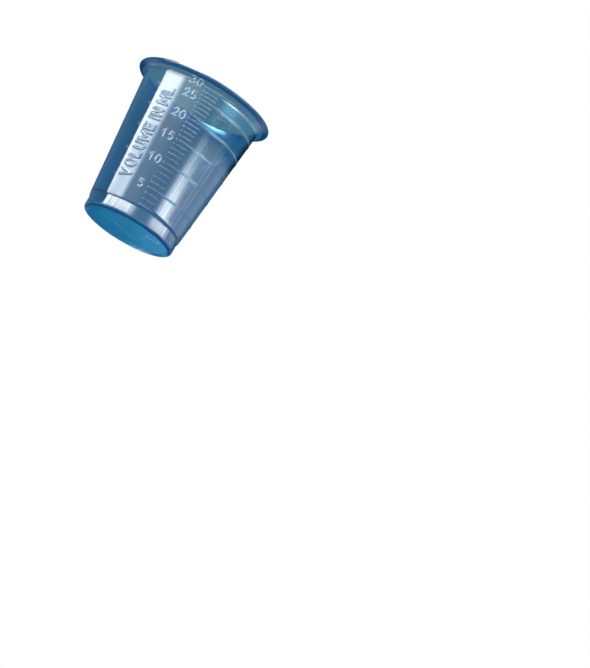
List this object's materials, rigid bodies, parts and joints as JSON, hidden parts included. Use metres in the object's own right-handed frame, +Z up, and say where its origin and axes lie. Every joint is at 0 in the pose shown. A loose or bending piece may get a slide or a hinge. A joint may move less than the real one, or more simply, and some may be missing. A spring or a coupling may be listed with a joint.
{
  "type": "medicine cup",
  "caption": "Small clear tinted plastic dosing cup with a tapered wall, stepped foot, flared lip and raised volume scale.",
  "frame": {"origin": "middle of the underside, where the foot stands", "axes": "+Z up along the cup's axis; -Y is the front, where the bars of the scale start; the ring lines run from there round the +X side"},
  "size_m": [0.0404, 0.0404, 0.0437],
  "materials": {
    "cup_plastic": "clear blue-tinted moulded plastic, glossy"
  },
  "bodies": {
    "root": {"cup": "cup_plastic"}
  },
  "joints": []
}
